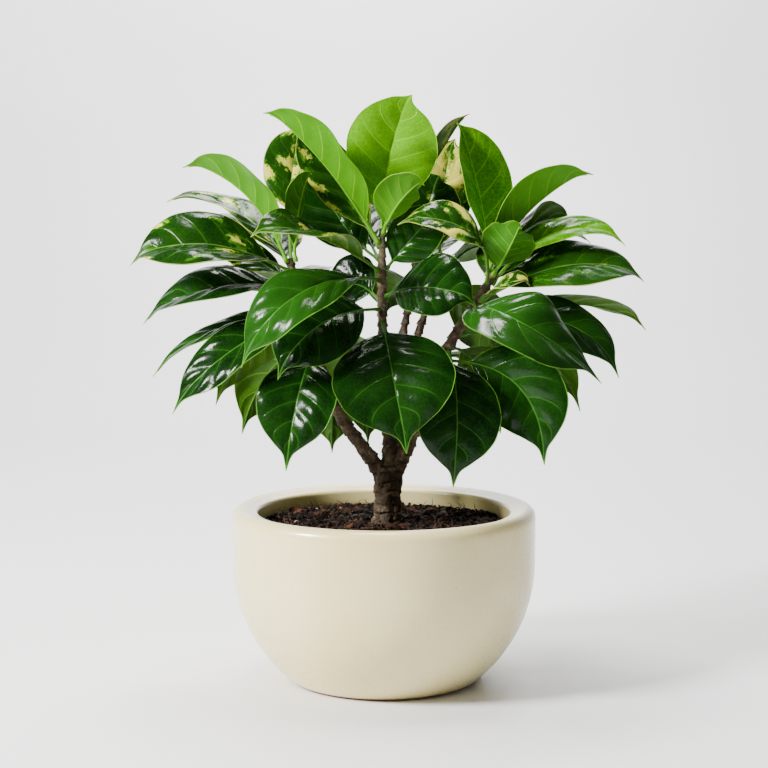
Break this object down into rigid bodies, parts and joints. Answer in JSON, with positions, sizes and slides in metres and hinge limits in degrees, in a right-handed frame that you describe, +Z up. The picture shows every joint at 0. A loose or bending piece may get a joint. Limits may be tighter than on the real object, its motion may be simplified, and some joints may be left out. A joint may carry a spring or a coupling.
{
  "type": "potted schefflera",
  "caption": "Three-limbed woody houseplant with simple glossy drip-tip leaves, some cream-variegated, growing in a round glazed ceramic bowl pot filled with soil.",
  "frame": {"origin": "centre of the pot's flat underside", "axes": "+Z up along the pot's axis; -Y towards the side the plant is looked at from; +X to the right from there"},
  "size_m": [0.405, 0.2554, 0.462],
  "materials": {
    "pot_glaze": "satin cream glaze with fine tan speckles",
    "soil": "dark crumbly potting mix with bark chips",
    "bark": "cracked grey-brown bark",
    "new_leaf": "glossy young lime-green leaf",
    "mature_leaf": "glossy dark green leaf",
    "variegated_leaf": "glossy dark green leaf with cream patches"
  },
  "bodies": {
    "root": {"pot": "pot_glaze", "soil": "soil", "woody_stem": "bark", "new_leaf_01": "new_leaf", "new_leaf_02": "new_leaf", "new_leaf_03": "new_leaf", "variegated_leaf_01": "variegated_leaf", "variegated_leaf_02": "variegated_leaf", "mature_leaf_01": "mature_leaf", "mature_leaf_02": "mature_leaf", "variegated_leaf_03": "variegated_leaf", "mature_leaf_03": "mature_leaf", "mature_leaf_04": "mature_leaf", "mature_leaf_05": "mature_leaf", "mature_leaf_06": "mature_leaf", "mature_leaf_07": "mature_leaf", "mature_leaf_08": "mature_leaf", "new_leaf_04": "new_leaf", "new_leaf_05": "new_leaf", "variegated_leaf_04": "variegated_leaf", "variegated_leaf_05": "variegated_leaf", "variegated_leaf_06": "variegated_leaf", "variegated_leaf_07": "variegated_leaf", "mature_leaf_09": "mature_leaf", "mature_leaf_10": "mature_leaf", "mature_leaf_11": "mature_leaf", "mature_leaf_12": "mature_leaf", "mature_leaf_13": "mature_leaf", "mature_leaf_14": "mature_leaf", "mature_leaf_15": "mature_leaf", "mature_leaf_16": "mature_leaf", "variegated_leaf_08": "variegated_leaf", "variegated_leaf_09": "variegated_leaf", "mature_leaf_17": "mature_leaf", "new_leaf_06": "new_leaf", "new_leaf_07": "new_leaf", "new_leaf_08": "new_leaf", "new_leaf_09": "new_leaf", "variegated_leaf_10": "variegated_leaf", "mature_leaf_18": "mature_leaf", "mature_leaf_19": "mature_leaf", "variegated_leaf_11": "variegated_leaf", "variegated_leaf_12": "variegated_leaf", "mature_leaf_20": "mature_leaf", "mature_leaf_21": "mature_leaf", "mature_leaf_22": "mature_leaf", "mature_leaf_23": "mature_leaf", "mature_leaf_24": "mature_leaf", "mature_leaf_25": "mature_leaf", "mature_leaf_26": "mature_leaf", "mature_leaf_27": "mature_leaf", "mature_leaf_28": "mature_leaf", "variegated_leaf_13": "variegated_leaf", "mature_leaf_29": "mature_leaf", "mature_leaf_30": "mature_leaf", "variegated_leaf_14": "variegated_leaf", "mature_leaf_31": "mature_leaf", "mature_leaf_32": "mature_leaf", "mature_leaf_33": "mature_leaf", "mature_leaf_34": "mature_leaf"}
  },
  "joints": []
}
